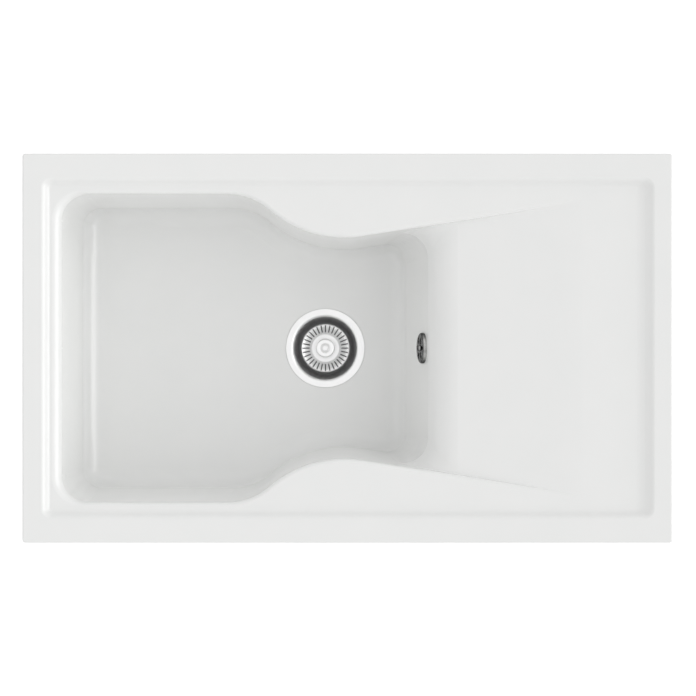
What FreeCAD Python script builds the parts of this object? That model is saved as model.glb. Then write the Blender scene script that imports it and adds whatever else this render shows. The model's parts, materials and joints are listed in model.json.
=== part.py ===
import FreeCAD, Part
import math
import os

# Inset kitchen sink with one waisted bowl and a sloping drainer, in millimetres.
# X runs to the drainer, Y to the back and Z up.
# The origin is the sink's middle on the worktop's top face.

# Rim, step and deck
sink_length = 860.0
sink_width = 515.0
rim_height = 10.0  # rim's top above the worktop
rim_corner_radius = 4.0
rim_edge_radius = 2.5
rim_left = 27.7  # flat rim, from the outer edge to the step
rim_right = 26.0
rim_side = 34.1
step_drop = 8.0  # rim's top down to the deck
step_draft = 40.0  # degrees
step_edge_radius = 7.0
step_foot_radius = 5.0
sweep_run = 20.0  # long hollow sweep of the step at the drainer's end
recess_corner_radius = 3.0
deck_thickness = 10.0
tray_inset = 20.0  # outer edge to the tray that drops into the worktop's cut-out
tray_corner_radius = 12.0
tray_edge_radius = 3.0

# Foam seal under the rim
seal_thickness = 1.5
seal_inset = 2.5
seal_width = 10.0
seal_corner_radius = 3.0

# Bowl outline at deck level
bowl_from_left = 49.0  # outer edge to the bowl's lip
bowl_from_side = 52.5
bowl_length = 496.0  # lip to the corner where wall and ramp would meet
waist_from_left = 376.0  # lip to the narrowest place
waist_inset = 58.0
shoulder_radius = 85.0
waist_radius = 150.0
flare_angle = 8.75  # degrees

# Bowl walls, floor and drainer ramp
bowl_depth = 187.0  # deck to floor
wall_thickness = 10.0
wall_draft = 3.0  # degrees
right_wall_draft = 12.0  # degrees
lip_radius = 5.0
left_lip_radius = 12.5
brow_radius = 42.0  # ramp rolling over into the right wall
floor_radius = 25.0
floor_corner_radius = 2.0
ramp_from_right = 127.0  # outer edge to the ramp's top
ramp_fall = 12.0
ramp_crest_radius = 400.0
crease_radius = 3.0

# Ribs under the drainer
rib_thickness = 7.0
rib_height = 12.0
rib_from_middle = 120.0
rib_from_right = 95.0
rib_from_side = 48.0

# Waste: dish, gaskets, body and clamping screw
drain_from_waist = 26.5
drain_hole_radius = 47.5
flange_radius = 56.0
flange_seat_depth = 2.5
flange_seat_clearance = 0.3
flange_dome = 0.9
dish_sheet = 1.2
dish_mouth_radius = 45.5
dish_mouth_roll = 4.0
dish_floor_radius = 38.5
dish_corner_radius = 7.0
dish_depth = 33.0
dish_hole_count = 8
dish_hole_radius = 4.5
dish_hole_ring_radius = 18.0
flange_gasket_thickness = 1.0
body_gasket_thickness = 3.0
body_flange_radius = 57.0
body_flange_thickness = 4.0
body_radius = 51.0
body_wall = 3.5
body_height = 48.0
body_cone_height = 14.0
outlet_radius = 23.9
outlet_wall = 3.4
outlet_length = 24.0
outlet_chamfer = 1.0
spider_hub_radius = 8.0
spider_hub_height = 15.0
spider_arm_count = 3
spider_arm_thickness = 3.5
spider_arm_height = 9.0
waste_screw_radius = 3.0
waste_screw_head_radius = 8.0
waste_screw_head_height = 2.2
waste_nut_radius = 5.8
waste_nut_height = 6.0

# Strainer basket with knob and seal
basket_sheet = 1.0
basket_floor_radius = 21.5
basket_rim_radius = 33.4
basket_lip = 0.8
basket_height = 8.0
basket_corner_radius = 2.5
slot_count = 32
slot_width = 1.6
slot_inner_radius = 22.8
slot_outer_radius = 33.2
basket_seal_height = 8.0
basket_seal_web = 2.5
basket_seal_radius = 32.5
basket_seal_lip = 6.0
knob_radius = 13.3
knob_base_radius = 8.0
knob_neck_radius = 6.5
knob_height = 21.0
knob_base_height = 2.5
knob_head_height = 8.0
knob_roundness = 2.6
knob_dish_radius = 7.2
knob_dish_floor_radius = 4.0
knob_dish_depth = 3.2
knob_screw_radius = 2.0
knob_screw_head_radius = 3.6
knob_screw_head_height = 1.8
seal_nut_radius = 4.6
seal_nut_flange_radius = 8.0
seal_nut_flange_height = 1.0
seal_nut_height = 2.9

# Overflow: rose, gasket, elbow and rigid pipe
overflow_depth = 68.0  # deck to the hole's middle on the wall
overflow_hole_radius = 17.0
rose_radius = 20.9
rose_rise = 5.4
rose_edge = 4.8
rose_roundness = 2.6
rose_sheet = 1.2
rose_slot_count = 6
rose_slot_width = 6.4
rose_slot_inner_radius = 6.8
rose_slot_outer_radius = 16.6
overflow_screw_radius = 2.5
overflow_screw_head_radius = 4.4
overflow_screw_head_height = 2.0
overflow_gasket_thickness = 3.0
elbow_flange_radius = 25.0
elbow_flange_thickness = 3.0
elbow_radius = 20.0
elbow_wall = 2.5
elbow_length = 34.0
elbow_end_radius = 6.0
elbow_hub_radius = 5.0
elbow_hub_length = 12.0
elbow_arm_count = 3
elbow_arm_thickness = 3.0
elbow_arm_length = 6.0
spout_length = 48.0
pipe_radius = 12.5
pipe_wall = 2.0
pipe_bend_radius = 42.0
pipe_engagement = 13.0
spigot_wall = 3.3
inlet_below_body_top = 34.0
inlet_length = 34.0
washer_height = 5.0
washer_taper = 1.4
coupling_nut_wall = 4.2
coupling_nut_skirt = 13.0
coupling_nut_end = 3.0
coupling_nut_groove_count = 14
coupling_nut_groove_radius = 1.8
coupling_nut_roundness = 1.0

# Fixing clips: insert, stud, jaw and wing nut
worktop_thickness = 38.0
clip_inset = 26.0  # outer edge to the stud
clip_along_shares = (-0.34, 0.0, 0.34)
boss_radius = 7.5
boss_draft_share = 0.12
boss_height = 20.0
insert_radius = 4.2
insert_length = 12.0
insert_groove = 0.5
stud_radius = 2.5
stud_engagement = 11.0
stud_length = 58.0
stud_chamfer = 0.6
jaw_barrel_radius = 6.5
jaw_barrel_top = 2.0  # below the worktop's underside
jaw_barrel_height = 16.0
jaw_width = 11.0
jaw_reach = 25.0
jaw_pad_length = 7.5
jaw_pad_thickness = 4.5
jaw_roundness = 1.2
jaw_edge_radius = 0.8
wing_nut_radius = 6.2
wing_nut_top_radius = 5.0
wing_nut_height = 8.0
wing_reach = 15.0
wing_drop = 6.0
wing_height = 9.0
wing_thickness = 2.6
wing_roundness = 3.0
wing_edge_radius = 0.9

# Fits and cuts
fit_clearance = 0.05  # pressed, screwed and glued pieces of one body
pipe_clearance = 0.2  # pipe pushed into a spigot
running_clearance = 0.3  # pieces that move past each other
overrun = 1.0  # how far a cut runs past the face that it opens
edge_lift = 0.03  # rounded edges start this far up their arc, so that they cross the flat face
tiny = 0.000001
right_angle = 90.0
full_turn = 360.0
hexagon_sides = 6
lip_steps = 6
brow_steps = 7
floor_steps = 7
ramp_steps = 3


def sin(angle):
    return math.sin(math.radians(angle))


def cos(angle):
    return math.cos(math.radians(angle))


def tan(angle):
    return math.tan(math.radians(angle))


def at(x, y, z):
    return FreeCAD.Vector(x, y, z)


# Places worked out from the sizes
origin = at(0, 0, 0)
up = at(0, 0, 1)
deck_z = rim_height - step_drop
deck_under_z = deck_z - deck_thickness
floor_z = deck_z - bowl_depth
floor_under_z = floor_z - wall_thickness
bowl_left_x = bowl_from_left - sink_length / 2
bowl_right_x = bowl_left_x + bowl_length
bowl_half_width = sink_width / 2 - bowl_from_side
waist_x = bowl_left_x + waist_from_left
waist_y = bowl_half_width - waist_inset + waist_radius
shoulder_y = bowl_half_width - shoulder_radius
curve_reach = shoulder_radius + waist_radius
shoulder_x = waist_x - math.sqrt(curve_reach**2 - (waist_y - shoulder_y) ** 2)
shoulder_turn = math.degrees(math.asin((waist_x - shoulder_x) / curve_reach))
ramp_top_x = sink_length / 2 - ramp_from_right
ramp_angle = math.degrees(math.atan(ramp_fall / (ramp_top_x - bowl_right_x)))
brow_turn = right_angle - right_wall_draft - ramp_angle
brow_reach = brow_radius * tan(brow_turn / 2)
brow_x = bowl_right_x + brow_reach * cos(ramp_angle) + brow_radius * sin(ramp_angle)
brow_depth = ramp_fall - brow_reach * sin(ramp_angle) + brow_radius * cos(ramp_angle)

drain_x = waist_x - drain_from_waist
flange_seat_z = floor_z - flange_seat_depth
flange_under_z = flange_seat_z + flange_gasket_thickness
dish_floor_z = floor_z - dish_depth
body_top_z = floor_under_z - body_gasket_thickness
body_cone_z = body_top_z - body_height
outlet_top_z = body_cone_z - body_cone_height
outlet_end_z = outlet_top_z - outlet_length
outlet_bore = outlet_radius - outlet_wall
hub_top_z = body_cone_z + spider_hub_height / 2
hub_end_z = hub_top_z - spider_hub_height
basket_z = dish_floor_z + basket_seal_height
spigot_bore = pipe_radius + pipe_clearance
spigot_radius = spigot_bore + spigot_wall
inlet_z = body_top_z - inlet_below_body_top


# General helpers
def cylinder(radius, bottom, top, x=0, y=0):
    return Part.makeCylinder(radius, top - bottom, at(x, y, bottom))


def block(size_x, size_y, size_z, x, y, z):
    """Box centred on x and y, standing on z."""
    return Part.makeBox(size_x, size_y, size_z, at(x - size_x / 2, y - size_y / 2, z))


def rounded_path(corners):
    """Closed wire in the XZ plane through (x, z, rounding) corners, each rounded by a tangent arc."""
    points = [at(x, 0, z) for x, z, _ in corners]
    legs = []
    for i, here in enumerate(points):
        rounding = corners[i][2]
        back = (points[i - 1] - here).normalize()
        on = (points[(i + 1) % len(points)] - here).normalize()
        half = math.degrees(back.getAngle(on)) / 2
        reach = rounding / tan(half)
        middle = here + (back + on).normalize() * (rounding / sin(half) - rounding) if rounding else here
        legs.append((here + back * reach, middle, here + on * reach))
    edges = []
    for i, (start, middle, stop) in enumerate(legs):
        before = legs[i - 1][2]
        if (start - before).Length > tiny:
            edges.append(Part.makeLine(before, start))
        if (stop - start).Length > tiny:
            edges.append(Part.Arc(start, middle, stop).toShape())
    return Part.Wire(edges)


def lathe(corners):
    """Solid of revolution about Z, from a profile of (radius, height, rounding) corners."""
    return Part.Face(rounded_path(corners)).revolve(origin, up, full_turn)


def plate(corners, width, edge_radius):
    """Profile in the XZ plane, given thickness along Y about the middle, its two outlines rounded."""
    solid = Part.Face(rounded_path(corners)).extrude(at(0, width, 0)).translated(at(0, -width / 2, 0))
    return solid.makeFillet(edge_radius, [edge for edge in solid.Edges if edge.BoundBox.YLength < tiny])


def ring(inner, outer, bottom, top):
    return lathe([(inner, bottom, 0), (outer, bottom, 0), (outer, top, 0), (inner, top, 0)])


def hexagon(radius, bottom, top):
    turns = [full_turn * i / hexagon_sides for i in range(hexagon_sides + 1)]
    corners = [at(radius * cos(turn), radius * sin(turn), bottom) for turn in turns]
    return Part.Face(Part.makePolygon(corners)).extrude(at(0, 0, top - bottom))


def around_axis(shape, count):
    """Copies of a shape at even turns about Z."""
    return [shape.rotated(origin, up, full_turn * i / count) for i in range(count)]


def domed_screw(shank_radius, shank_end, head_radius, head_bottom, head_height):
    return lathe(
        [
            (0, shank_end, 0),
            (shank_radius, shank_end, 0),
            (shank_radius, head_bottom, 0),
            (head_radius, head_bottom, 0),
            (head_radius, head_bottom + head_height, head_height / 2),
            (0, head_bottom + head_height, 0),
        ]
    )


def rounded_block(size_x, size_y, bottom, top, corner):
    solid = block(size_x, size_y, top - bottom, 0, 0, bottom)
    upright = [e for e in solid.Edges if e.BoundBox.ZLength > (top - bottom) / 2]
    return solid.makeFillet(corner, upright)


def level_edges(solid, z):
    boxes = [(edge, edge.BoundBox) for edge in solid.Edges]
    return [edge for edge, box in boxes if max(abs(box.ZMin - z), abs(box.ZMax - z)) < tiny]


# Lofted hollows: sections at many depths, joined zone by zone
def round_off(rise, radius, draft):
    """How far a rounded corner stands from its sharp wall line, at a height above the level face."""
    if rise >= radius * (1 - sin(draft)):
        return 0
    reach = radius * tan((right_angle - draft) / 2)
    run = math.sqrt(max(radius**2 - (radius - rise) ** 2, 0))
    return reach + rise * tan(draft) - run


def turned_depths(radius, first_angle, last_angle, steps):
    """Depth of points at even turns along an arc, below the arc's level start."""
    turns = [first_angle + (last_angle - first_angle) * i / steps for i in range(steps + 1)]
    return [radius * (1 - cos(turn)) for turn in turns]


def between(first, last, steps):
    return [first + (last - first) * i / steps for i in range(steps + 1)]


def mirrored_outline(left, right, arcs, z):
    """Closed outline, alike on both sides of the X axis, with straight runs between its arcs."""
    edges = []
    last = at(left, 0, z)
    for x, y, radius, start, stop in arcs:
        turns = (start, (start + stop) / 2, stop)
        first, middle, end = [at(x + radius * cos(a), y + radius * sin(a), z) for a in turns]
        if (first - last).Length > tiny:
            edges.append(Part.makeLine(last, first))
        edges.append(Part.Arc(first, middle, end).toShape())
        last = end
    edges.append(Part.makeLine(last, at(right, 0, z)))
    return Part.Wire(Part.__sortEdges__(edges + [e.mirror(origin, at(0, 1, 0)) for e in edges]))


def lofted(section, zones):
    """Closed solid through the sections at each zone's depths. A zone of two depths is straight.

    A short upright collar over the first section carries the solid past the face that it opens.
    """
    mouth = section(zones[0][0])
    faces = [Part.Face(mouth.translated(up * overrun)), Part.Face(section(zones[-1][-1]))]
    faces += mouth.extrude(up * overrun).Faces
    for depths in zones:
        faces += Part.makeLoft([section(d) for d in depths], False, len(depths) == 2).Faces
    shell = Part.makeShell(faces)
    shell.sewShape()
    solid = Part.makeSolid(shell)
    if solid.Volume < 0:
        solid.reverse()
    return solid


# Recess between rim and deck
def step_outset(depth):
    edge = round_off(depth + edge_lift, step_edge_radius, step_draft)
    foot = round_off(step_drop - depth, step_foot_radius, step_draft)
    return edge - foot - depth * tan(step_draft)


def sweep_outset(depth):
    """The drainer end's step: one hollow arc, level at the deck, with a rounded edge at the rim."""
    radius = (sweep_run**2 + step_drop**2) / (2 * step_drop)
    run = math.sqrt(max(radius**2 - (radius - step_drop + depth) ** 2, 0))
    edge_draft = right_angle - math.degrees(math.asin(sweep_run / radius))
    return run - sweep_run + round_off(depth + edge_lift, step_edge_radius, edge_draft)


def recess_section(depth):
    side = step_outset(depth)
    corner = recess_corner_radius + side - step_outset(step_drop)
    left = rim_left - sink_length / 2 - side
    right = sink_length / 2 - rim_right + sweep_outset(depth)
    corner_y = sink_width / 2 - rim_side + side - corner
    arcs = [
        (left + corner, corner_y, corner, 2 * right_angle, right_angle),
        (right - corner, corner_y, corner, right_angle, 0),
    ]
    return mirrored_outline(left, right, arcs, rim_height - depth)


def make_recess():
    steep = right_angle - step_draft
    edge = turned_depths(step_edge_radius, 0, steep, lip_steps)
    foot = [step_drop - d for d in turned_depths(step_foot_radius, steep, 0, lip_steps)]
    return lofted(recess_section, [edge, between(edge[-1], foot[0], lip_steps), foot])


# Bowl and ramp: the inside has no skin, the outside has the wall's thickness
def side_outset(depth, skin, lip):
    wall = skin / cos(wall_draft) - depth * tan(wall_draft)
    flare = 0 if skin else round_off(depth + edge_lift, lip, wall_draft)
    return wall + flare - round_off(bowl_depth + skin - depth, floor_radius + skin, wall_draft)


def right_end(depth, skin):
    """Right end of a section, and how far the brow has turned there from ramp to wall."""
    radius = brow_radius - skin
    level = min(max((brow_depth - depth) / radius, sin(right_wall_draft)), cos(ramp_angle))
    turn = math.degrees(math.acos(level))
    past = depth - brow_depth + radius * level
    slope = tan(right_wall_draft) if past > 0 else 1 / tan(ramp_angle)
    x = brow_x - radius * sin(turn) - past * slope
    crest = 0 if skin else round_off(depth + edge_lift, ramp_crest_radius, right_angle - ramp_angle)
    foot = round_off(bowl_depth + skin - depth, floor_radius + skin, right_wall_draft)
    return x + crest - foot, (turn - ramp_angle) / brow_turn


def bowl_section(depth, skin):
    side = side_outset(depth, skin, lip_radius)
    left = bowl_left_x - side_outset(depth, skin, left_lip_radius)
    right, turned_share = right_end(depth, skin)
    corner = floor_corner_radius + side - side_outset(bowl_depth + skin, skin, lip_radius)
    right_corner = crease_radius + (corner - crease_radius) * turned_share
    crease_turn = flare_angle - right_angle
    crease_x = waist_x + (waist_radius - side) * cos(crease_turn)
    crease_y = waist_y + (waist_radius - side) * sin(crease_turn)
    right_y = crease_y + (right - crease_x) * tan(flare_angle)
    right_y -= right_corner * tan((right_angle + flare_angle) / 2)
    bend = right_angle - shoulder_turn
    left_y = bowl_half_width + side - corner
    arcs = [
        (left + corner, left_y, corner, 2 * right_angle, right_angle),
        (shoulder_x, shoulder_y, shoulder_radius + side, right_angle, bend),
        (waist_x, waist_y, waist_radius - side, bend - 2 * right_angle, crease_turn),
        (right - right_corner, right_y, right_corner, right_angle + flare_angle, 0),
    ]
    return mirrored_outline(left, right, arcs, deck_z - depth)


def bowl_form(skin):
    """Bowl and ramp as one solid: its hollow, or with a skin the outside that the underside shows."""
    steep = right_angle - wall_draft
    brow_angles = (ramp_angle, right_angle - right_wall_draft)
    brow_top = brow_depth - brow_radius + skin
    brow = [brow_top + d for d in turned_depths(brow_radius - skin, *brow_angles, brow_steps)]
    foot_depths = turned_depths(floor_radius + skin, steep, 0, floor_steps)
    foot = [bowl_depth + skin - d for d in foot_depths]
    lip = [deck_thickness] if skin else turned_depths(lip_radius, 0, steep, lip_steps)
    zones = [] if skin else [lip]
    zones += [between(lip[-1], brow[0], ramp_steps), brow, [brow[-1], foot[0]], foot]
    return lofted(lambda depth: bowl_section(depth, skin), zones)


# Overflow frame: local Z points out of the right wall into the bowl, local X up the wall
overflow_x = right_end(overflow_depth, 0)[0]
overflow_z = deck_z - overflow_depth
overflow_axis = at(-cos(right_wall_draft), 0, sin(right_wall_draft))
spout_distance = wall_thickness + overflow_gasket_thickness + elbow_length / 2
spout_x = overflow_x - overflow_axis.x * spout_distance
spout_z = overflow_z - overflow_axis.z * spout_distance
spout_end_z = spout_z - spout_length
inlet_end_x = drain_x + body_radius + inlet_length


def on_wall(shape):
    turn = FreeCAD.Rotation(up, overflow_axis)
    placed = shape.copy()
    placed.Placement = FreeCAD.Placement(at(overflow_x, 0, overflow_z), turn)
    return placed


def on_drain(shape):
    return shape.translated(at(drain_x, 0, 0))


# Clip places: position of the stud and the angle that its jaw points
clip_x = sink_length / 2 - clip_inset
clip_y = sink_width / 2 - clip_inset
clip_places = [(sink_length * share, -clip_y, -right_angle) for share in clip_along_shares]
clip_places += [(clip_x, 0, 0)]
clip_places += [(sink_length * share, clip_y, right_angle) for share in reversed(clip_along_shares)]
clip_places += [(-clip_x, 0, 2 * right_angle)]
boss_end_z = deck_under_z - boss_height
stud_top_z = boss_end_z + stud_engagement


def at_clip(shape, place):
    x, y, angle = place
    return shape.rotated(origin, up, angle).translated(at(x, y, 0))


# The basin and its seal
def make_boss():
    foot_radius = boss_radius * (1 - boss_draft_share)
    root_z = deck_under_z + overrun
    return Part.makeCone(foot_radius, boss_radius, root_z - boss_end_z, at(0, 0, boss_end_z))


def make_ribs():
    end_x = sink_length / 2 - tray_inset - tray_edge_radius
    start_x = brow_x
    bottom = deck_under_z - rib_height
    height = rib_height + overrun
    long_rib = block(end_x - start_x, rib_thickness, height, (start_x + end_x) / 2, 0, bottom)
    sides = [long_rib.translated(at(0, y, 0)) for y in (-rib_from_middle, rib_from_middle)]
    cross_x = sink_length / 2 - rib_from_right
    return sides + [block(rib_thickness, sink_width - 2 * rib_from_side, height, cross_x, 0, bottom)]


def make_basin():
    rim = rounded_block(sink_length, sink_width, seal_thickness, rim_height, rim_corner_radius)
    rim = rim.makeFillet(rim_edge_radius, level_edges(rim, rim_height))
    tray_size = (sink_length - 2 * tray_inset, sink_width - 2 * tray_inset)
    tray = rounded_block(*tray_size, deck_under_z, seal_thickness + overrun, tray_corner_radius)
    tray = tray.makeFillet(tray_edge_radius, level_edges(tray, deck_under_z))
    bosses = [at_clip(make_boss(), place) for place in clip_places]
    body = rim.fuse([tray, bowl_form(wall_thickness), *make_ribs(), *bosses])
    insert_hole = cylinder(insert_radius + fit_clearance, boss_end_z - overrun, stud_top_z + overrun)
    seat = cylinder(flange_radius + flange_seat_clearance, flange_seat_z, floor_z + overrun, drain_x)
    hole = cylinder(drain_hole_radius, floor_under_z - overrun, floor_z + overrun, drain_x)
    overflow = on_wall(cylinder(overflow_hole_radius, -wall_thickness - overrun, overrun))
    holes = [at_clip(insert_hole, place) for place in clip_places]
    return body.cut([make_recess(), bowl_form(0), seat, hole, overflow, *holes])


def make_rim_seal():
    outer = (sink_length - 2 * seal_inset, sink_width - 2 * seal_inset)
    inner = [size - 2 * seal_width for size in outer]
    strip = rounded_block(*outer, 0, seal_thickness, seal_corner_radius)
    return strip.cut(block(*inner, seal_thickness + 2 * overrun, 0, 0, -overrun))


# Waste
def make_waste_flange():
    wall = dish_sheet
    top_z = flange_under_z + dish_sheet
    under_floor_z = dish_floor_z - dish_sheet
    hole = waste_screw_radius + fit_clearance
    dish = lathe(
        [
            (flange_radius, flange_under_z, 0),
            (flange_radius, top_z, dish_sheet / 3),
            (dish_mouth_radius, top_z + flange_dome, dish_mouth_roll),
            (dish_floor_radius, dish_floor_z, dish_corner_radius),
            (hole, dish_floor_z, 0),
            (hole, under_floor_z, 0),
            (dish_floor_radius + wall, under_floor_z, dish_corner_radius + wall),
            (dish_mouth_radius + wall, flange_under_z, dish_mouth_roll - wall),
        ]
    )
    drain = cylinder(dish_hole_radius, under_floor_z - overrun, dish_floor_z + overrun)
    drain.translate(at(dish_hole_ring_radius, 0, 0))
    return on_drain(dish.cut(around_axis(drain, dish_hole_count)))


def make_flange_gasket():
    inner = dish_mouth_radius + dish_mouth_roll
    return on_drain(ring(inner, flange_radius, flange_seat_z, flange_under_z))


def make_body_gasket():
    return on_drain(ring(drain_hole_radius, body_flange_radius, body_top_z, floor_under_z))


def make_waste_body():
    inner = body_radius - body_wall
    outside = lathe(
        [
            (0, body_top_z, 0),
            (body_flange_radius, body_top_z, 0),
            (body_flange_radius, body_top_z - body_flange_thickness, 0),
            (body_radius, body_top_z - body_flange_thickness, 0),
            (body_radius, body_cone_z, body_wall),
            (outlet_radius, outlet_top_z, 0),
            (outlet_radius, outlet_end_z, outlet_chamfer),
            (0, outlet_end_z, 0),
        ]
    )
    hollow = lathe(
        [
            (0, body_top_z + overrun, 0),
            (inner, body_top_z + overrun, 0),
            (inner, body_cone_z, 0),
            (outlet_bore, outlet_top_z, 0),
            (outlet_bore, outlet_end_z - overrun, 0),
            (0, outlet_end_z - overrun, 0),
        ]
    )
    hub = cylinder(spider_hub_radius, hub_end_z, hub_top_z)
    arm_z = hub_top_z - spider_arm_height
    arm = block(body_radius, spider_arm_thickness, spider_arm_height, body_radius / 2, 0, arm_z)
    spider = hub.fuse(around_axis(arm, spider_arm_count)).rotated(origin, up, full_turn / 2)
    spigot_start = at(0, 0, inlet_z)
    spigot_length = inlet_end_x - drain_x
    spigot = Part.makeCylinder(spigot_radius, spigot_length, spigot_start, at(1, 0, 0))
    inlet = Part.makeCylinder(spigot_bore, spigot_length + overrun, spigot_start, at(1, 0, 0))
    below_hub_z = hub_end_z - overrun
    screw_hole = cylinder(waste_screw_radius + fit_clearance, below_hub_z, hub_top_z + overrun)
    nut_pocket = hexagon(waste_nut_radius + fit_clearance, below_hub_z, hub_end_z + waste_nut_height)
    pot = outside.fuse(spigot).cut([hollow, inlet])
    return on_drain(pot.fuse(spider.common(outside)).cut([screw_hole, nut_pocket]))


def make_waste_screw():
    return on_drain(
        domed_screw(
            waste_screw_radius,
            hub_end_z,
            waste_screw_head_radius,
            dish_floor_z,
            waste_screw_head_height,
        )
    )


def make_waste_nut():
    nut = hexagon(waste_nut_radius, hub_end_z, hub_end_z + waste_nut_height)
    bore = cylinder(waste_screw_radius + fit_clearance, hub_end_z - overrun, hub_top_z)
    return on_drain(nut.cut(bore))


# Strainer basket
def make_strainer_basket():
    wall_angle = math.degrees(math.atan2(basket_height, basket_rim_radius - basket_floor_radius))
    wall = basket_sheet / sin(wall_angle)
    top = basket_z + basket_height
    hole = knob_screw_radius + fit_clearance
    floor_top = basket_z + basket_sheet
    cup = lathe(
        [
            (hole, floor_top, 0),
            (basket_floor_radius - wall, floor_top, basket_corner_radius),
            (basket_rim_radius - wall, top, basket_sheet / 2),
            (basket_rim_radius + basket_lip, top, basket_sheet / 3),
            (basket_rim_radius + basket_lip, top - basket_sheet, basket_sheet / 3),
            (basket_rim_radius, top - basket_sheet, 0),
            (basket_floor_radius, basket_z, basket_corner_radius + basket_sheet),
            (hole, basket_z, 0),
        ]
    )
    slot_length = slot_outer_radius - slot_inner_radius
    slot_middle = (slot_outer_radius + slot_inner_radius) / 2
    slot_height = basket_height + 2 * overrun
    slot = block(slot_length, slot_width, slot_height, slot_middle, 0, basket_z - overrun)
    return on_drain(cup.cut(around_axis(slot, slot_count)))


def make_basket_knob():
    base_z = basket_z + basket_sheet
    top_z = base_z + knob_height
    head_z = top_z - knob_head_height
    hole = knob_screw_radius + fit_clearance
    return on_drain(
        lathe(
            [
                (hole, base_z, 0),
                (knob_base_radius, base_z, 0),
                (knob_base_radius, base_z + knob_base_height, knob_base_height / 2),
                (knob_neck_radius, head_z - knob_head_height / 2, knob_roundness),
                (knob_radius, head_z, knob_roundness),
                (knob_radius, top_z, knob_roundness),
                (knob_dish_radius, top_z, knob_dish_depth / 4),
                (knob_dish_floor_radius, top_z - knob_dish_depth, 0),
                (hole, top_z - knob_dish_depth, 0),
            ]
        )
    )


def make_knob_screw():
    seat_z = basket_z + basket_sheet + knob_height - knob_dish_depth
    end_z = basket_z - basket_seal_web - seal_nut_height
    sizes = (knob_screw_radius, end_z, knob_screw_head_radius, seat_z, knob_screw_head_height)
    return on_drain(domed_screw(*sizes))


def make_basket_seal():
    inner = basket_seal_radius - basket_seal_lip
    hole = knob_screw_radius + fit_clearance
    web_z = basket_z - basket_seal_web
    return on_drain(
        lathe(
            [
                (hole, basket_z, 0),
                (basket_seal_radius - basket_seal_web, basket_z, 0),
                (basket_seal_radius, web_z, basket_seal_web / 2),
                (basket_seal_radius, dish_floor_z, basket_seal_web / 2),
                (inner, dish_floor_z, basket_seal_web / 4),
                (inner, web_z, basket_seal_web / 2),
                (hole, web_z, 0),
            ]
        )
    )


def make_seal_nut():
    top_z = basket_z - basket_seal_web
    bottom_z = top_z - seal_nut_height
    nut = hexagon(seal_nut_radius, bottom_z, top_z)
    flange = cylinder(seal_nut_flange_radius, top_z - seal_nut_flange_height, top_z)
    bore = cylinder(knob_screw_radius + fit_clearance, bottom_z - overrun, top_z + overrun)
    return on_drain(nut.fuse(flange).cut(bore).removeSplitter())


# Overflow
def make_overflow_rose():
    hole = overflow_screw_radius + fit_clearance
    inner = rose_radius - rose_sheet
    cover = lathe(
        [
            (hole, rose_rise, 0),
            (rose_radius, rose_edge, rose_roundness),
            (rose_radius, 0, 0),
            (inner, 0, 0),
            (inner, rose_edge - rose_sheet, rose_roundness - rose_sheet),
            (hole, rose_rise - rose_sheet, 0),
        ]
    )
    rounding = rose_slot_width / 2
    low = rose_slot_inner_radius
    high = rose_slot_outer_radius
    depth = rose_rise + 2 * overrun
    slot = block(high - low - 2 * rounding, rose_slot_width, depth, (low + high) / 2, 0, -overrun)
    tips = [cylinder(rounding, -overrun, depth - overrun, x) for x in (low + rounding, high - rounding)]
    return on_wall(cover.cut(around_axis(slot.fuse(tips), rose_slot_count)))


def make_overflow_screw():
    end_z = -wall_thickness - overflow_gasket_thickness - elbow_hub_length
    head = (overflow_screw_head_radius, rose_rise, overflow_screw_head_height)
    return on_wall(domed_screw(overflow_screw_radius, end_z, *head))


def make_overflow_gasket():
    back = -wall_thickness
    face = back - overflow_gasket_thickness
    return on_wall(ring(overflow_hole_radius, elbow_flange_radius, face, back))


def make_overflow_elbow():
    face = -wall_thickness - overflow_gasket_thickness
    end = face - elbow_length
    inner = elbow_radius - elbow_wall
    outside = lathe(
        [
            (0, face, 0),
            (elbow_flange_radius, face, 0),
            (elbow_flange_radius, face - elbow_flange_thickness, elbow_flange_thickness / 3),
            (elbow_radius, face - elbow_flange_thickness, 0),
            (elbow_radius, end, elbow_end_radius),
            (0, end, 0),
        ]
    )
    hollow = cylinder(inner, end + elbow_wall, face + overrun)
    hub_end = face - elbow_hub_length
    hub = cylinder(elbow_hub_radius, hub_end, face)
    reach = inner + overrun
    arm_end = face - elbow_arm_length
    arm = block(reach, elbow_arm_thickness, elbow_arm_length, reach / 2, 0, arm_end)
    screw_hole = cylinder(overflow_screw_radius + fit_clearance, hub_end - overrun, face + overrun)
    spider = hub.fuse(around_axis(arm, elbow_arm_count)).cut(screw_hole)
    spout = cylinder(spigot_radius, spout_end_z, spout_z, spout_x)
    bore = cylinder(spigot_bore, spout_end_z - overrun, spout_z, spout_x)
    shell = on_wall(outside).fuse(spout).cut([on_wall(hollow), bore])
    return shell.fuse(on_wall(spider)).removeSplitter()


def make_overflow_pipe():
    top_z = spout_end_z + pipe_engagement
    end_x = inlet_end_x - pipe_engagement
    bend_x = spout_x - pipe_bend_radius
    bend_z = inlet_z + pipe_bend_radius
    half_turn = pipe_bend_radius * cos(right_angle / 2)
    middle = at(bend_x + half_turn, 0, bend_z - half_turn)
    start = at(spout_x, 0, top_z)
    turn_in = at(spout_x, 0, bend_z)
    turn_out = at(bend_x, 0, inlet_z)
    route = [
        Part.makeLine(start, turn_in),
        Part.Arc(turn_in, middle, turn_out).toShape(),
        Part.makeLine(turn_out, at(end_x, 0, inlet_z)),
    ]

    def tube(radius):
        mouth = Part.Wire(Part.makeCircle(radius, start, up))
        return Part.Wire(route).makePipeShell([mouth], True, False)

    return tube(pipe_radius).cut(tube(pipe_radius - pipe_wall))


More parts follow.
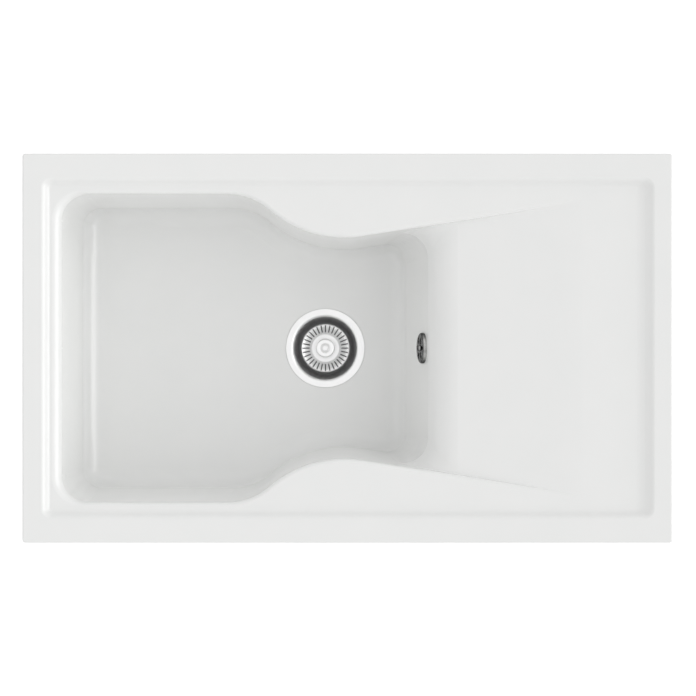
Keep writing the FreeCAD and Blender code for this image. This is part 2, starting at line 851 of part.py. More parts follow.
def make_coupling_washer():
    """Tapered sealing ring that sits on a spigot's mouth, local Z pointing along the pipe."""
    bore = pipe_radius + fit_clearance
    return lathe(
        [
            (bore, 0, 0),
            (spigot_radius, 0, 0),
            (spigot_radius - washer_taper, washer_height, 0),
            (bore, washer_height, 0),
        ]
    )


def make_coupling_nut():
    """Hand nut over a spigot, its shoulder pressing on the sealing ring."""
    thread = spigot_radius + fit_clearance
    outer = thread + coupling_nut_wall
    shoulder = washer_height + fit_clearance
    top = shoulder + coupling_nut_end
    nut = lathe(
        [
            (thread, -coupling_nut_skirt, 0),
            (outer, -coupling_nut_skirt, coupling_nut_roundness),
            (outer, top, coupling_nut_roundness),
            (pipe_radius + running_clearance, top, 0),
            (pipe_radius + running_clearance, shoulder, 0),
            (thread, shoulder, 0),
        ]
    )
    groove_x = outer + coupling_nut_groove_radius / 2
    bottom = -coupling_nut_skirt - overrun
    groove = cylinder(coupling_nut_groove_radius, bottom, top + overrun, groove_x)
    return nut.cut(around_axis(groove, coupling_nut_groove_count))


def on_spout(shape):
    return shape.rotated(origin, at(1, 0, 0), 2 * right_angle).translated(at(spout_x, 0, spout_end_z))


def on_inlet(shape):
    return shape.rotated(origin, at(0, 1, 0), right_angle).translated(at(inlet_end_x, 0, inlet_z))


# Fixing clips, each made about its stud's axis with the jaw pointing along X
def make_insert():
    bore = stud_radius + fit_clearance
    top = boss_end_z + insert_length
    middle = (boss_end_z + top) / 2
    half = insert_groove * 2
    inset = insert_radius - insert_groove
    return lathe(
        [
            (bore, boss_end_z, 0),
            (insert_radius, boss_end_z, 0),
            (insert_radius, middle - half, 0),
            (inset, middle - half, 0),
            (inset, middle + half, 0),
            (insert_radius, middle + half, 0),
            (insert_radius, top, 0),
            (bore, top, 0),
        ]
    )


def make_stud():
    end = stud_radius - stud_chamfer
    bottom = stud_top_z - stud_length
    return lathe(
        [
            (0, bottom, 0),
            (end, bottom, 0),
            (stud_radius, bottom + stud_chamfer, 0),
            (stud_radius, stud_top_z - stud_chamfer, 0),
            (end, stud_top_z, 0),
            (0, stud_top_z, 0),
        ]
    )


jaw_pad_z = -worktop_thickness
jaw_top_z = jaw_pad_z - jaw_barrel_top
jaw_bottom_z = jaw_top_z - jaw_barrel_height


def make_clip_jaw():
    arm_end = jaw_reach - jaw_pad_length
    slope_start = arm_end - jaw_barrel_top
    arm = plate(
        [
            (0, jaw_bottom_z, 0),
            (jaw_barrel_radius, jaw_bottom_z, jaw_roundness),
            (jaw_reach, jaw_pad_z - jaw_pad_thickness, jaw_roundness),
            (jaw_reach, jaw_pad_z, jaw_roundness),
            (arm_end, jaw_pad_z, jaw_roundness / 2),
            (slope_start, jaw_top_z, jaw_roundness / 2),
            (0, jaw_top_z, 0),
        ],
        jaw_width,
        jaw_edge_radius,
    )
    barrel = cylinder(jaw_barrel_radius, jaw_bottom_z, jaw_top_z)
    bore = cylinder(stud_radius + running_clearance, jaw_bottom_z - overrun, jaw_top_z + overrun)
    return barrel.fuse(arm).cut(bore).removeSplitter()


def make_wing_nut():
    bore = stud_radius + fit_clearance
    bottom = jaw_bottom_z - wing_nut_height
    hub = lathe(
        [
            (bore, jaw_bottom_z, 0),
            (wing_nut_radius, jaw_bottom_z, 0),
            (wing_nut_top_radius, bottom, 0),
            (bore, bottom, 0),
        ]
    )
    wing_bottom = bottom - wing_drop
    inner = (bore + wing_nut_top_radius) / 2
    wing = plate(
        [
            (inner, jaw_bottom_z - wing_nut_height / 3, 0),
            (wing_reach, bottom - wing_drop + wing_height, wing_roundness),
            (wing_reach, wing_bottom, wing_roundness),
            (wing_nut_top_radius, bottom, 0),
            (inner, bottom, 0),
        ],
        wing_thickness,
        wing_edge_radius,
    )
    return hub.fuse(around_axis(wing, 2)).rotated(origin, up, right_angle)


# Write every piece to its own file
pieces = {
    "basin": make_basin(),
    "rim_seal": make_rim_seal(),
    "waste_flange": make_waste_flange(),
    "flange_gasket": make_flange_gasket(),
    "body_gasket": make_body_gasket(),
    "waste_body": make_waste_body(),
    "waste_screw": make_waste_screw(),
    "waste_nut": make_waste_nut(),
    "strainer_basket": make_strainer_basket(),
    "basket_knob": make_basket_knob(),
    "knob_screw": make_knob_screw(),
    "basket_seal": make_basket_seal(),
    "seal_nut": make_seal_nut(),
    "overflow_rose": make_overflow_rose(),
    "overflow_screw": make_overflow_screw(),
    "overflow_gasket": make_overflow_gasket(),
    "overflow_elbow": make_overflow_elbow(),
    "overflow_pipe": make_overflow_pipe(),
    "overflow_upper_washer": on_spout(make_coupling_washer()),
    "overflow_upper_nut": on_spout(make_coupling_nut()),
    "overflow_lower_washer": on_inlet(make_coupling_washer()),
    "overflow_lower_nut": on_inlet(make_coupling_nut()),
    "clip_inserts": Part.makeCompound([at_clip(make_insert(), place) for place in clip_places]),
    "clip_studs": Part.makeCompound([at_clip(make_stud(), place) for place in clip_places]),
}
for number, place in enumerate(clip_places, 1):
    pieces[f"clip_jaw_{number}"] = at_clip(make_clip_jaw(), place)
    pieces[f"wing_nut_{number}"] = at_clip(make_wing_nut(), place)

os.makedirs("parts", exist_ok=True)
for name, shape in pieces.items():
    shape.exportStep(f"parts/{name}.step")
    print(name, len(shape.Solids), round(shape.Volume), shape.isValid())
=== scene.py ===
# %% [markdown]
# # A white kitchen sink, dressed for its photograph
# The sink comes in as a finished set of solids that never move. This lesson gives every surface
# its real finish, cuts the threads that the solids leave plain, and lights the sink from above.
# Everything is in metres: X runs to the drainer, Y to the back and Z up, with the worktop at zero.

# %% Load the fixed frame
import json
import math

import bmesh
import bpy
from mathutils import Matrix, Vector


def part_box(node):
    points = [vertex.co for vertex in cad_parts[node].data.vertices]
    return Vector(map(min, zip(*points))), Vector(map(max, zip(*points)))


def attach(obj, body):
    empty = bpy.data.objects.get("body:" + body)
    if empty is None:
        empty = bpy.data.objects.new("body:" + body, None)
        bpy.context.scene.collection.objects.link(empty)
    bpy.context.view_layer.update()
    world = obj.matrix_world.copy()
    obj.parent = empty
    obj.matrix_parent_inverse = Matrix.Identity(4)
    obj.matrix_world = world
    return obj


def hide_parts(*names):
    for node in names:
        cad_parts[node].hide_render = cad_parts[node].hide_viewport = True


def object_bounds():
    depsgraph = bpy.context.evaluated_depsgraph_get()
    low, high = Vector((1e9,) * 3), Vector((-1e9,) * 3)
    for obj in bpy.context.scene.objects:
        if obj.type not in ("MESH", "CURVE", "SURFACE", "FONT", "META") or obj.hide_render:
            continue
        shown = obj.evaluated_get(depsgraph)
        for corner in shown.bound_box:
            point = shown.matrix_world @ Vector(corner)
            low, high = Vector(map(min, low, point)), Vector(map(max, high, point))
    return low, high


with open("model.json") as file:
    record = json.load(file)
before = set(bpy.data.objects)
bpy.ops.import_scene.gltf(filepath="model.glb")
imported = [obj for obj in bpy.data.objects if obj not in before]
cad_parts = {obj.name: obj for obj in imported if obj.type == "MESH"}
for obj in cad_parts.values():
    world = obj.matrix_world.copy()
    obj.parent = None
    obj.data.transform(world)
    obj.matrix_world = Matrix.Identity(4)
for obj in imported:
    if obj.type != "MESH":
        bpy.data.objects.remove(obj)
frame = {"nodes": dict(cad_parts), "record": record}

nodes = frame["nodes"]
cad_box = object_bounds()
MM = 0.001


def middle_of(node):
    low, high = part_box(node)
    return (low + high) / 2


print("solids loaded:", len(nodes), "inside", [tuple(round(v, 3) for v in corner) for corner in cad_box])

# %% [markdown]
# ## Small tools for materials
# Colours are picked in the everyday sRGB hex form, but the renderer adds up light in linear
# numbers, so one function turns one into the other. A second adds a node: a plain value is set on
# the socket, and a socket of another node is linked to it. The short ones after it are the steps
# that nearly every finish takes: patches of a real size, a range, a mix of two colours, a relief.


# %% Colour and node helpers
def hex_colour(code):
    shares = [int(code[i : i + 2], 16) / 255 for i in (0, 2, 4)]
    return (*[s / 12.92 if s <= 0.04045 else ((s + 0.055) / 1.055) ** 2.4 for s in shares], 1)


def add_node(tree, kind, inputs=None, **settings):
    made = tree.nodes.new(kind)
    for name, value in settings.items():
        setattr(made, name, value)
    for name, value in (inputs or {}).items():
        if isinstance(value, bpy.types.NodeSocket):
            tree.links.new(value, made.inputs[name])
        else:
            made.inputs[name].default_value = value
    return made


def start_material(name):
    """A bare material with the place on the piece, in metres, as the source of its patterns."""
    material = bpy.data.materials.new(name)
    material.use_nodes = True
    tree = material.node_tree
    tree.nodes.clear()
    return material, tree, add_node(tree, "ShaderNodeTexCoord").outputs["Object"]


def finish_material(tree, **sockets):
    shader = add_node(tree, "ShaderNodeBsdfPrincipled", {k.replace("_", " "): v for k, v in sockets.items()})
    add_node(tree, "ShaderNodeOutputMaterial", {"Surface": shader.outputs["BSDF"]})


def patches_of(tree, place, size, detail):
    """Soft random patches of a real size, from 0 to 1."""
    inputs = {"Vector": place, "Scale": 1 / size, "Detail": detail}
    return add_node(tree, "ShaderNodeTexNoise", inputs).outputs["Fac"]


def spread(tree, value, low, high, start=0, end=1):
    """Runs from low to high while the value goes from start to end."""
    inputs = {"Value": value, "From Min": start, "From Max": end, "To Min": low, "To Max": high}
    return add_node(tree, "ShaderNodeMapRange", inputs).outputs["Result"]


# The Mix node has sockets for numbers, vectors and colours under the same names, so the colour
# ones are picked by their place in the list.
MIX_SHARE, MIX_FIRST, MIX_SECOND, MIX_RESULT = 0, 6, 7, 2


def mix_colours(tree, share, first, second):
    inputs = {MIX_SHARE: share, MIX_FIRST: first, MIX_SECOND: second}
    return add_node(tree, "ShaderNodeMix", inputs, data_type="RGBA").outputs[MIX_RESULT]


def relief(tree, pattern, height, strength, over=None):
    """A shallow relief of a real height, laid over another one where that is given."""
    inputs = {"Height": pattern, "Distance": height, "Strength": strength}
    if over is not None:
        inputs["Normal"] = over
    return add_node(tree, "ShaderNodeBump", inputs).outputs["Normal"]


def facing_up(tree):
    """How far a face looks up: 1 for a level face, 0 for an upright one, -1 for one that looks down."""
    facing = add_node(tree, "ShaderNodeNewGeometry").outputs["Normal"]
    return add_node(tree, "ShaderNodeSeparateXYZ", {"Vector": facing}).outputs["Z"]


print("the basin's white is", tuple(round(v, 2) for v in hex_colour("F5F5F4")))

# %% [markdown]
# ## White gloss of the basin
# The basin is moulded from mineral-filled resin with a smooth white gel skin. A single white would
# look like plaster. The real skin has faint clouds from the mix, places that are wiped a little
# duller, and a very shallow orange-peel ripple that softens the edges of each reflection. Only the
# side that shows is gelled. The back came off the rougher half of the mould, so every face that
# looks down gets a greyer, dull and coarser surface.


# %% White gel skin
def make_white_gel():
    cloud_size, wipe_size = 60 * MM, 140 * MM
    ripple_size, ripple_height, ripple_strength = 14 * MM, 0.02 * MM, 0.5
    grit_size, grit_height = 2.5 * MM, 0.12 * MM
    back_starts, back_full = -0.01, -0.04
    glossy, wiped, back_dull = 0.14, 0.24, 0.6
    resin_ior = 1.5
    material, tree, place = start_material("white_gel_coat_moulded")
    back = spread(tree, facing_up(tree), 0, 1, back_starts, back_full)
    clouds = patches_of(tree, place, cloud_size, detail=3)
    wipes = patches_of(tree, place, wipe_size, detail=4)
    ripple = patches_of(tree, place, ripple_size, detail=1)
    grit = patches_of(tree, place, grit_size, detail=3)
    white = mix_colours(tree, clouds, hex_colour("F1F2F1"), hex_colour("F5F5F4"))
    grey = mix_colours(tree, grit, hex_colour("CDCBC5"), hex_colour("DDDBD6"))
    gloss = spread(tree, wipes, glossy, wiped)
    skin = relief(tree, ripple, ripple_height, ripple_strength)
    finish_material(
        tree,
        Base_Color=mix_colours(tree, back, white, grey),
        Roughness=spread(tree, back, gloss, back_dull),
        IOR=resin_ior,
        Normal=relief(tree, grit, grit_height, back, over=skin),
    )
    return material


white_gel = make_white_gel()
print("made", white_gel.name)

# %% [markdown]
# ## Spun stainless steel of the waste
# The dish and the basket are pressed from stainless sheet, and they and the knob are polished while
# they spin, which leaves fine rings around the drain. The rings come from the distance to the
# drain's axis, so they run round every piece alike. Real polishing lines are too fine to see here,
# so they are made about half a millimetre apart. Water and scouring have left the steel a little
# rough: flat faces still shine, but the dish's deep wall turns from black to dark grey.

# %% Spun stainless steel
drain = middle_of("waste_flange")


def make_spun_steel():
    ring_gap, ring_height, ring_strength = 0.5 * MM, 0.004 * MM, 0.6
    smear_size = 12 * MM
    smooth, rough = 0.26, 0.38
    level_only = (1, 1, 0)
    material, tree, place = start_material("stainless_steel_spun_worn")
    offset = add_node(tree, "ShaderNodeVectorMath", {0: place, 1: drain}, operation="SUBTRACT").outputs[0]
    spoke = add_node(tree, "ShaderNodeVectorMath", {0: offset, 1: level_only}, operation="MULTIPLY")
    radius = add_node(tree, "ShaderNodeVectorMath", {0: spoke.outputs[0]}, operation="LENGTH")
    rings = add_node(
        tree,
        "ShaderNodeTexNoise",
        {"W": radius.outputs["Value"], "Scale": 1 / ring_gap, "Detail": 2},
        noise_dimensions="1D",
    ).outputs["Fac"]
    smears = patches_of(tree, place, smear_size, detail=2)
    finish_material(
        tree,
        Base_Color=mix_colours(tree, smears, hex_colour("F0F0F0"), hex_colour("F8F8F8")),
        Metallic=1,
        Roughness=spread(tree, rings, smooth, rough),
        Normal=relief(tree, rings, ring_height, ring_strength),
    )
    return material


spun_steel = make_spun_steel()
print("made", spun_steel.name, "about the drain at", tuple(round(v, 4) for v in drain))

# %% [markdown]
# ## Plastics, rubber, brass and zinc of the hidden fittings
# Below the deck the sink is plumbing: moulded polypropylene, dark rubber, turned brass and zinc
# plated steel. Each is one pattern of a real size that moves both colour and roughness, so one
# function with a few words per finish makes them all.


# %% Fitting finishes
def make_fitting(name, colours, roughness, grain, height, metallic=0, cells=False):
    """A finish whose grain, of a real size, shifts colour, roughness and a shallow relief together."""
    relief_strength = 0.6
    material, tree, place = start_material(name)
    if cells:
        bubbles = add_node(tree, "ShaderNodeTexVoronoi", {"Vector": place, "Scale": 1 / grain})
        pattern = bubbles.outputs["Distance"]
    else:
        pattern = patches_of(tree, place, grain, detail=3)
    low, high = [hex_colour(code) for code in colours]
    smooth, rough = roughness
    finish_material(
        tree,
        Base_Color=mix_colours(tree, pattern, low, high),
        Metallic=metallic,
        Roughness=spread(tree, pattern, smooth, rough),
        Normal=relief(tree, pattern, height, relief_strength),
    )
    return material


# Polypropylene straight from the mould: milky, satin, with a faint sparkled tool grain.
polypropylene = make_fitting(
    "polypropylene_moulded_white",
    colours=("D6D7D3", "E6E6E2"),
    roughness=(0.34, 0.5),
    grain=1.2 * MM,
    height=0.02 * MM,
)
# Moulded rubber: black gone dark grey with use, dull, slightly dusty where the grain stands up.
rubber = make_fitting(
    "rubber_moulded_dark_grey",
    colours=("585859", "7E7E7F"),
    roughness=(0.5, 0.7),
    grain=0.9 * MM,
    height=0.03 * MM,
)
# Closed-cell foam: soft grey with small bubbles cut open at the surface.
foam = make_fitting(
    "foam_closed_cell_grey",
    colours=("38393A", "5A5B5C"),
    roughness=(0.8, 0.95),
    grain=1.4 * MM,
    height=0.25 * MM,
    cells=True,
)
# Turned brass: warm yellow, a little dulled.
brass = make_fitting(
    "brass_turned",
    colours=("B8923F", "D2B062"),
    roughness=(0.25, 0.4),
    grain=2.5 * MM,
    height=0.004 * MM,
    metallic=1,
)
# Zinc plating: cool grey with cloudy spangles.
zinc = make_fitting(
    "steel_zinc_plated",
    colours=("A6ABB0", "CDD0D3"),
    roughness=(0.26, 0.44),
    grain=3.0 * MM,
    height=0.004 * MM,
    metallic=1,
)
# Glass-filled nylon: near black with a fine lighter fleck from the fibres.
nylon = make_fitting(
    "nylon_glass_filled_black",
    colours=("1B1B1D", "343437"),
    roughness=(0.45, 0.62),
    grain=0.7 * MM,
    height=0.03 * MM,
)
print("made", [m.name for m in (polypropylene, rubber, foam, brass, zinc, nylon)])

# %% [markdown]
# ## Black plating of the overflow cover
# The overflow cover is cast and plated black. Its upper edge gets a painted highlight: a bright metal
# colour laid in patches on the faces that look up, standing in for the white fleck that light draws
# there. How far a face looks up tells where that edge is.


# %% Black plating with a painted highlight
def make_plating_with_painted_highlight():
    patch_size = 7 * MM
    highlight_starts, highlight_full = 0.45, 0.8
    smooth, rough = 0.18, 0.32
    material, tree, place = start_material("zamak_black_plated_painted_highlight")
    patches = patches_of(tree, place, patch_size, detail=3)
    # Painted highlight: bright metal colour in patches on the faces that look up, along the cover's upper
    # edge.
    painted_highlight = spread(tree, facing_up(tree), 0, patches, highlight_starts, highlight_full)
    finish_material(
        tree,
        Base_Color=mix_colours(tree, painted_highlight, hex_colour("323334"), hex_colour("E4E4E2")),
        Metallic=1,
        Roughness=spread(tree, patches, smooth, rough),
    )
    return material


plating_with_painted_highlight = make_plating_with_painted_highlight()
print("made", plating_with_painted_highlight.name)

# %% [markdown]
# ## Hand out the finishes
# A solid whose shape is right stays as it is and only gets its finish. The record's slot already
# says what every solid is made of, so a table from slot to finish is enough.

# %% Finish for every solid
finish_of_slot = {
    "white_basin": white_gel,
    "polished_steel": spun_steel,
    # black plating with a painted highlight on the faces that look up
    "black_rose": plating_with_painted_highlight,
    "waste_plastic": polypropylene,
    "black_rubber": rubber,
    "seal_foam": foam,
    "brass": brass,
    "zinc_steel": zinc,
    "jaw_plastic": nylon,
}
for subpart in frame["record"]["subparts"]:
    piece = nodes[subpart["node"]]
    piece.data.materials.clear()
    piece.data.materials.append(finish_of_slot[subpart["material_slot"]])

# %% [markdown]
# ## A threaded rod
# The solids leave every thread out, because a helix only slows their checks. Here one is cheap:
# four points that trace a single tooth are spun round the axis while each step also climbs a
# little. After a whole turn the tooth has risen by its own height, so its top edge lands on the
# bottom edge of the next turn and the two are merged. Two flat cuts give the rod its length, the
# holes that they leave are filled, and the last tooth is turned down to a lead-in.

# %% Thread helpers
STEPS_PER_TURN = 16
SHARP_EDGE = math.radians(35)
UPRIGHT, MIDDLE = (0, 0, 1), (0, 0, 0)


def threaded_rod(root, crest, pitch, length):
    """A closed rod from the origin up the Z axis, with a pointed thread."""
    crest_from_share, crest_to_share, merge_share = 0.44, 0.56, 0.001
    spare_turns = 2
    shape = bmesh.new()
    turns = math.ceil(length / pitch) + spare_turns
    tooth = [(root, 0), (crest, crest_from_share), (crest, crest_to_share), (root, 1)]
    points = [shape.verts.new((radius, 0, (share - 1) * pitch)) for radius, share in tooth]
    edges = [shape.edges.new(pair) for pair in zip(points, points[1:])]
    bmesh.ops.spin(
        shape,
        geom=points + edges,
        angle=math.tau * turns,
        steps=STEPS_PER_TURN * turns,
        axis=UPRIGHT,
        cent=MIDDLE,
        dvec=(0, 0, pitch / STEPS_PER_TURN),
    )
    bmesh.ops.remove_doubles(shape, verts=shape.verts, dist=pitch * merge_share)
    for height, outward in ((0, -1), (length, 1)):
        everything = shape.verts[:] + shape.edges[:] + shape.faces[:]
        bmesh.ops.bisect_plane(
            shape, geom=everything, plane_co=(0, 0, height), plane_no=(0, 0, outward), clear_outer=True
        )
    bmesh.ops.holes_fill(shape, edges=[edge for edge in shape.edges if edge.is_boundary], sides=0)
    for point in shape.verts:
        limit = root + min(point.co.z, length - point.co.z)
        radius = point.co.xy.length
        if radius > limit:
            point.co.xy *= limit / radius
    bmesh.ops.recalc_face_normals(shape, faces=shape.faces)
    return shape


def show_piece(name, shape, finish, body, slot, *stands_for):
    """Turns a finished shape into a piece that rides on a body and takes the place of some solids."""
    for face in shape.faces:
        face.smooth = True
    for edge in shape.edges:
        edge.smooth = len(edge.link_faces) == 2 and edge.calc_face_angle() < SHARP_EDGE
    mesh = bpy.data.meshes.new(name)
    shape.to_mesh(mesh)
    shape.free()
    mesh.materials.append(finish)
    piece = bpy.data.objects.new(name, mesh)
    bpy.context.scene.collection.objects.link(piece)
    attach(piece, body)
    if stands_for:
        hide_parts(*stands_for)
    print(name, "has", len(mesh.polygons), "faces")


# %% [markdown]
# ## Eight clip studs
# Each clip hangs on an M5 stud. One rod is made and then copied under every wing nut, whose middle
# is the stud's axis.

# %% Clip studs
CLIP_COUNT = 8
M5_ROOT, M5_CREST, M5_PITCH = 2.05 * MM, 2.48 * MM, 0.8 * MM
stud_low, stud_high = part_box("clip_studs")
one_stud = bpy.data.meshes.new("one_stud")
rod = threaded_rod(M5_ROOT, M5_CREST, M5_PITCH, stud_high.z - stud_low.z)
rod.to_mesh(one_stud)
rod.free()
studs = bmesh.new()
for number in range(1, CLIP_COUNT + 1):
    axis = middle_of(f"wing_nut_{number}")
    already = len(studs.verts)
    studs.from_mesh(one_stud)
    studs.verts.ensure_lookup_table()
    bmesh.ops.translate(studs, verts=studs.verts[already:], vec=(axis.x, axis.y, stud_low.z))
bpy.data.meshes.remove(one_stud)
show_piece("threaded_clip_studs", studs, zinc, "root", "zinc_steel", "clip_studs")

# %% [markdown]
# ## Screws with a cross recess
# Two screws are driven with a cross bit: the one on the overflow cover and, once the basket is
# lifted, the one in the dish. A head is a short profile spun round the axis. Its flat top is joined
# to a cross of twelve points, and that cross is set inwards and down to make the recess. The knob's
# own screw has a plain round head and stays as its solid is.


# %% Cross-head screws
def cross_screw(shank, length, head_radius, head_height, pitch):
    """A screw along Z whose head sits on the origin's level, with its thread below."""
    root_share, overlap_share = 0.84, 0.3
    shape = threaded_rod(shank * root_share, shank, pitch, length + head_height * overlap_share)
    bmesh.ops.translate(shape, verts=shape.verts, vec=(0, 0, -length))
    bow_shares = [(0.5, 0), (1, 0), (1, 0.3), (0.94, 0.6), (0.8, 0.88), (0.62, 1)]
    points = [shape.verts.new((head_radius * r, 0, head_height * h)) for r, h in bow_shares]
    edges = [shape.edges.new(pair) for pair in zip(points, points[1:])]
    bmesh.ops.spin(
        shape,
        geom=points + edges,
        angle=math.tau,
        steps=2 * STEPS_PER_TURN,
        axis=UPRIGHT,
        cent=MIDDLE,
        use_merge=True,
    )
    bottom = [edge for edge in shape.edges if edge.is_boundary and edge.verts[0].co.z < head_height / 2]
    bmesh.ops.holes_fill(shape, edges=bottom, sides=0)
    rim = [edge for edge in shape.edges if edge.is_boundary]
    arm_share, half_arm_share, depth_share, draft_share = 0.46, 0.12, 0.55, 1 / 3
    arm, half = head_radius * arm_share, head_radius * half_arm_share
    quarter_cross = [Vector((x, y, head_height)) for x, y in ((arm, -half), (arm, half), (half, half))]
    corners = []
    for quarter in range(4):
        turn = Matrix.Rotation(math.radians(90 * quarter), 3, "Z")
        corners += [shape.verts.new(turn @ corner) for corner in quarter_cross]
    cross = shape.faces.new(corners)
    bmesh.ops.bridge_loops(shape, edges=rim + cross.edges[:])
    cross.normal_update()
    depth = head_height * depth_share
    sunk = -depth if cross.normal.z > 0 else depth
    bmesh.ops.inset_individual(shape, faces=[cross], thickness=half * draft_share, depth=sunk)
    bmesh.ops.recalc_face_normals(shape, faces=shape.faces)
    return shape


DISH_SHANK, DISH_PITCH = 2.98 * MM, 1 * MM
DISH_HEAD_RADIUS, DISH_HEAD = 8 * MM, 2.2 * MM
dish_low, dish_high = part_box("waste_screw")
dish_length = dish_high.z - dish_low.z - DISH_HEAD
dish_screw = cross_screw(DISH_SHANK, dish_length, DISH_HEAD_RADIUS, DISH_HEAD, DISH_PITCH)
bmesh.ops.translate(dish_screw, verts=dish_screw.verts, vec=(drain.x, drain.y, dish_high.z - DISH_HEAD))
show_piece("threaded_waste_screw", dish_screw, spun_steel, "root", "polished_steel", "waste_screw")

# The overflow screw stands on the cover, square to the leaning wall, in the middle of its hole.
OVERFLOW_PLACE = Vector((103.0968, 0, -66)) * MM
OVERFLOW_LEAN = math.radians(-78)
COVER_RISE = 5.4 * MM
COVER_SHANK, COVER_LENGTH = M5_CREST, 33 * MM
COVER_HEAD_RADIUS, COVER_HEAD = 4.4 * MM, 2 * MM
cover_screw = cross_screw(COVER_SHANK, COVER_LENGTH, COVER_HEAD_RADIUS, COVER_HEAD, M5_PITCH)
bmesh.ops.translate(cover_screw, verts=cover_screw.verts, vec=(0, 0, COVER_RISE))
onto_wall = Matrix.Translation(OVERFLOW_PLACE) @ Matrix.Rotation(OVERFLOW_LEAN, 4, "Y")
bmesh.ops.transform(cover_screw, matrix=onto_wall, verts=cover_screw.verts)
# The screw takes the same black plating, with its painted highlight on the faces that look up.
show_piece("threaded_overflow_screw", cover_screw, plating_with_painted_highlight, "root", "black_rose", "overflow_screw")

# %% [markdown]
# ## Rolled lip of the basket
# The edge of a pressed basket is rolled over so that it doesn't cut fingers. The solid has a flat
# lip, which would shine as a white ring. A copy of it is merged, and every point outside the
# slotted wall is let down in step with its distance, which turns the lip into a falling edge.


# %% Basket with a rolled lip
def merged_copy(node):
    """A solid's mesh with its split corners joined, free to be reshaped."""
    merge_distance = 0.001 * MM
    shape = bmesh.new()
    shape.from_mesh(nodes[node].data)
    bmesh.ops.remove_doubles(shape, verts=shape.verts, dist=merge_distance)
    return shape


ROLL_START, ROLL_END, ROLL_DROP = 31.4 * MM, 34.2 * MM, 1.6 * MM
ROLL_POWER = 1.5
rolled_basket = merged_copy("strainer_basket")
for point in rolled_basket.verts:
    beyond = (point.co.xy - drain.xy).length - ROLL_START
    if beyond > 0:
        point.co.z -= ROLL_DROP * (beyond / (ROLL_END - ROLL_START)) ** ROLL_POWER
show_piece("rolled_basket", rolled_basket, spun_steel, "basket", "polished_steel", "strainer_basket")

# %% [markdown]
# ## Pipe thread on the waste's outlet
# A trap screws onto the outlet with a coarse pipe thread. The solid has the thread's full width as
# a plain pipe. A copy of it is merged, its outlet is turned down to the thread's root, and a ridge
# that climbs round it brings it back to full width. The ridge starts a little inside the root, so
# that no gap opens between the two.

# %% Outlet thread
OUTLET_ROOT, OUTLET_CREST, OUTLET_PITCH = 22.6 * MM, 23.88 * MM, 2.309 * MM
OUTLET_TOP = -259.9 * MM
THREAD_TURNS, OUTLET_STEPS = 8, 64
RIDGE_SINK, RIDGE_LIFT = 0.2 * MM, 0.5 * MM
RIDGE_SHARES = (0.1, 0.42, 0.58, 0.9)
waste_pot = merged_copy("waste_body")
for point in waste_pot.verts:
    spoke = point.co.xy - drain.xy
    if point.co.z < OUTLET_TOP and spoke.length > OUTLET_ROOT:
        point.co.xy = drain.xy + spoke * (OUTLET_ROOT / spoke.length)
show_piece("waste_pot", waste_pot, polypropylene, "root", "waste_plastic", "waste_body")

sunk_root = OUTLET_ROOT - RIDGE_SINK
ridge = bmesh.new()
tooth = zip((sunk_root, OUTLET_CREST, OUTLET_CREST, sunk_root), RIDGE_SHARES)
points = [ridge.verts.new((radius, 0, share * OUTLET_PITCH)) for radius, share in tooth]
edges = [ridge.edges.new(pair) for pair in zip(points, points[1:] + points[:1])]
bmesh.ops.spin(
    ridge,
    geom=points + edges,
    angle=math.tau * THREAD_TURNS,
    steps=OUTLET_STEPS * THREAD_TURNS,
    axis=UPRIGHT,
    cent=MIDDLE,
    dvec=(0, 0, OUTLET_PITCH / OUTLET_STEPS),
)
bmesh.ops.holes_fill(ridge, edges=[edge for edge in ridge.edges if edge.is_boundary], sides=0)
bmesh.ops.recalc_face_normals(ridge, faces=ridge.faces)
outlet_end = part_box("waste_body")[0].z
bmesh.ops.translate(ridge, verts=ridge.verts, vec=(drain.x, drain.y, outlet_end + RIDGE_LIFT))
show_piece("outlet_thread", ridge, polypropylene, "root", "waste_plastic")

# %% [markdown]
# ## Camera over the sink
# The photograph looks straight down from a little over two and a half metres, so the bowl's walls
# show only by their lean. The lens is worked out from how wide the picture is at the rim.

# %% Camera
CAMERA_ABOVE_RIM = 2.6
CAMERA_RIGHT, CAMERA_BACK = 0.7 * MM, 0.2 * MM
FRAME_WIDTH = 0.9196
SENSOR_WIDTH_MM = 36
rim_top = cad_box[1].z
camera_data = bpy.data.cameras.new("photo_camera")
camera_data.sensor_width = SENSOR_WIDTH_MM
camera_data.lens = SENSOR_WIDTH_MM * CAMERA_ABOVE_RIM / FRAME_WIDTH
camera = bpy.data.objects.new("photo_camera", camera_data)
camera.location = (CAMERA_RIGHT, CAMERA_BACK, rim_top + CAMERA_ABOVE_RIM)
bpy.context.scene.collection.objects.link(camera)
bpy.context.scene.camera = camera
print("lens", round(camera_data.lens, 1), "mm")

# %% [markdown]
# ## Light and floor
# Every edge of the sink that faces right is bright in the photograph, and the walls that face the
# front and the back are the darkest, so the room is lighter on its right and left. The sky does
# that: a level for each of five directions, which fades as a ray turns away from it. A softbox on
# the left lifts the bowl's right end and is left to the dull share of each surface, because its
# mirror image would draw lines along the bowl's foot that the photograph doesn't have. The lines
# that it does have, on the left step, lip and foot, are the mirror image of a tall softbox on the
# right, which is left to the shiny share. The camera and the polished metal see a plain white room.
# The floor is just below the outlet; it glows a little to the camera so that it is as white as the
# room, and its own share still takes the sink's shadow.

# %% Softboxes, sky and floor
bpy.context.scene.view_settings.view_transform = "Standard"
OVERHEAD_LEVEL, RIGHT_LEVEL, LEFT_LEVEL, BACK_LEVEL, FRONT_LEVEL = 0.377, 1.51, 0.625, 0.357, 0.456
SOFTBOX_DISTANCE = 2.5
FLOOR_GLOW = 0.75
FLOOR_SIZE, FLOOR_DROP = 12, 0.5 * MM
PLAIN_WHITE = (1, 1, 1, 1)


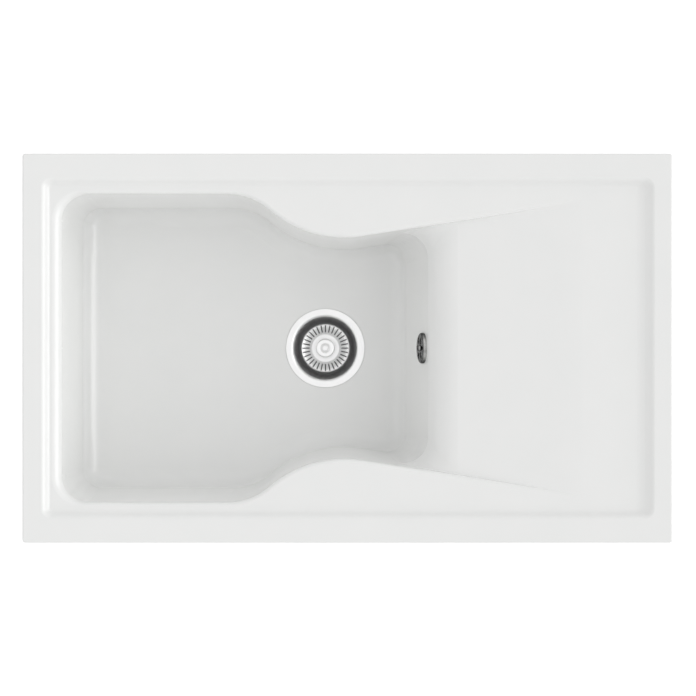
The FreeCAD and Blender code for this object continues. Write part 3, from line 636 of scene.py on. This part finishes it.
def softbox(name, side, degrees_up, width, tall, level):
    """An area lamp that faces the sink and glows at a level, of which 1 is white, on either side."""
    lamp = bpy.data.lights.new(name, "AREA")
    lamp.shape = "RECTANGLE"
    lamp.size = width
    lamp.size_y = tall
    lamp.energy = math.pi * width * tall * level
    elevation = math.radians(degrees_up)
    stand = bpy.data.objects.new(name, lamp)
    stand.location = Vector((side * math.cos(elevation), 0, math.sin(elevation))) * SOFTBOX_DISTANCE
    stand.rotation_mode = "QUATERNION"
    stand.rotation_quaternion = (-stand.location).to_track_quat("-Z", "Y")
    stand.visible_camera = False
    bpy.context.scene.collection.objects.link(stand)
    return stand


def seen_rays(tree):
    """1 for the rays that show the room, to the camera or in metal, and 0 for those that only light."""
    rays = add_node(tree, "ShaderNodeLightPath").outputs
    seen = rays["Is Camera Ray"]
    for kind in ("Is Glossy Ray", "Is Transmission Ray"):
        seen = add_node(tree, "ShaderNodeMath", {0: seen, 1: rays[kind]}, operation="MAXIMUM").outputs[0]
    return seen


tall_softbox = softbox("tall_softbox_right", side=1, degrees_up=34, width=1.6, tall=2.2, level=2.3)
tall_softbox.visible_diffuse = False
square_softbox = softbox("square_softbox_left", side=-1, degrees_up=35, width=1.2, tall=1.2, level=0.5)
square_softbox.visible_glossy = False

world = bpy.data.worlds.new("studio")
world.use_nodes = True
bpy.context.scene.world = world
sky = world.node_tree
sky.nodes.clear()
towards = add_node(sky, "ShaderNodeTexCoord").outputs["Generated"]
sides = add_node(sky, "ShaderNodeSeparateXYZ", {"Vector": towards}).outputs
fill = 0
for axis, sign, level in (
    ("Z", 1, OVERHEAD_LEVEL),
    ("X", 1, RIGHT_LEVEL),
    ("X", -1, LEFT_LEVEL),
    ("Y", 1, BACK_LEVEL),
    ("Y", -1, FRONT_LEVEL),
):
    part = add_node(sky, "ShaderNodeMath", {0: sides[axis], 1: sign}, operation="MULTIPLY", use_clamp=True)
    total = {0: part.outputs[0], 1: level, 2: fill}
    fill = add_node(sky, "ShaderNodeMath", total, operation="MULTIPLY_ADD").outputs[0]
shown = spread(sky, seen_rays(sky), fill, 1)
room = add_node(sky, "ShaderNodeBackground", {"Color": PLAIN_WHITE, "Strength": shown})
add_node(sky, "ShaderNodeOutputWorld", {"Surface": room.outputs["Background"]})

floor_mesh = bpy.data.meshes.new("studio_floor")
floor_shape = bmesh.new()
bmesh.ops.create_grid(
    floor_shape,
    x_segments=1,
    y_segments=1,
    size=FLOOR_SIZE / 2,
    matrix=Matrix.Translation((0, 0, cad_box[0].z - FLOOR_DROP)),
)
floor_shape.to_mesh(floor_mesh)
floor_shape.free()
floor = bpy.data.objects.new("studio_floor", floor_mesh)
bpy.context.scene.collection.objects.link(floor)
floor_material, floor_tree, _ = start_material("painted_paper_white")
finish_material(
    floor_tree,
    Base_Color=hex_colour("C8C8C8"),
    Roughness=1,
    Emission_Color=PLAIN_WHITE,
    Emission_Strength=spread(floor_tree, seen_rays(floor_tree), 0, FLOOR_GLOW),
)
floor_mesh.materials.append(floor_material)
print("lit by a sky of", OVERHEAD_LEVEL, "overhead and", RIGHT_LEVEL, "from the right")
